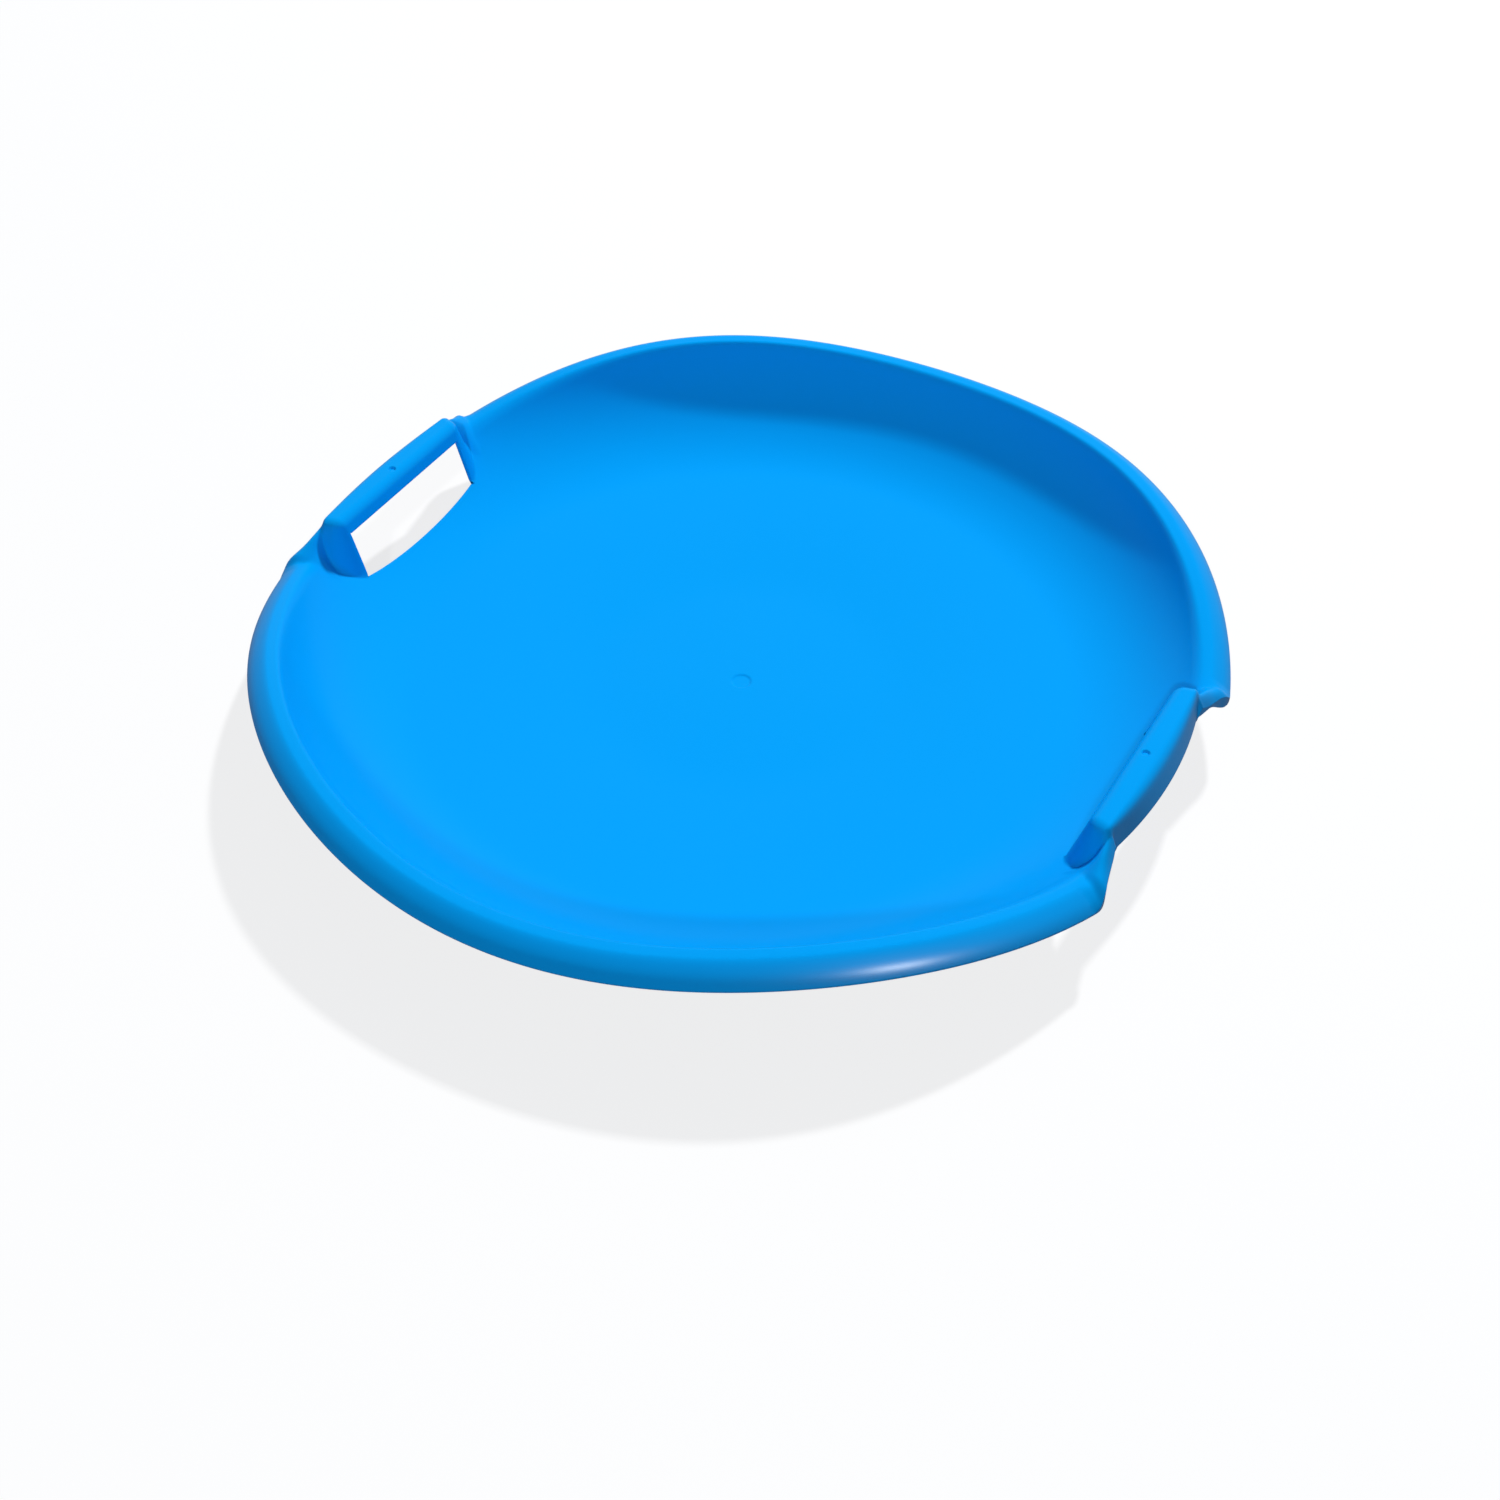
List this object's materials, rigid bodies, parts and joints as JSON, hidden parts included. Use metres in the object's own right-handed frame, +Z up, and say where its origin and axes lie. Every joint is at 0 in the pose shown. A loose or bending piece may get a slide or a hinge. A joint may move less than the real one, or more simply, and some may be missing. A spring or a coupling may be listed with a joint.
{
  "type": "saucer sled",
  "caption": "Round one-piece plastic saucer sled: shallow dish with a waving rolled rim and raised hand grips over open hand slots on opposite sides.",
  "frame": {"origin": "on the ground under the middle of the dish", "axes": "+Z up, X through the two hand grips, Y from the front of the rim to the back"},
  "size_m": [0.5484, 0.58, 0.0693],
  "materials": {
    "moulding": "smooth gloss"
  },
  "bodies": {
    "root": {"base_disc": "moulding", "floor_ring": "moulding", "back_wall": "moulding", "front_wall": "moulding", "right_wall": "moulding", "left_wall": "moulding", "back_rim": "moulding", "front_rim": "moulding", "right_back_rim_end": "moulding", "right_front_rim_end": "moulding", "left_back_rim_end": "moulding", "left_front_rim_end": "moulding", "right_grip": "moulding", "left_grip": "moulding", "right_back_cheek": "moulding", "right_front_cheek": "moulding", "left_back_cheek": "moulding", "left_front_cheek": "moulding"}
  },
  "joints": []
}
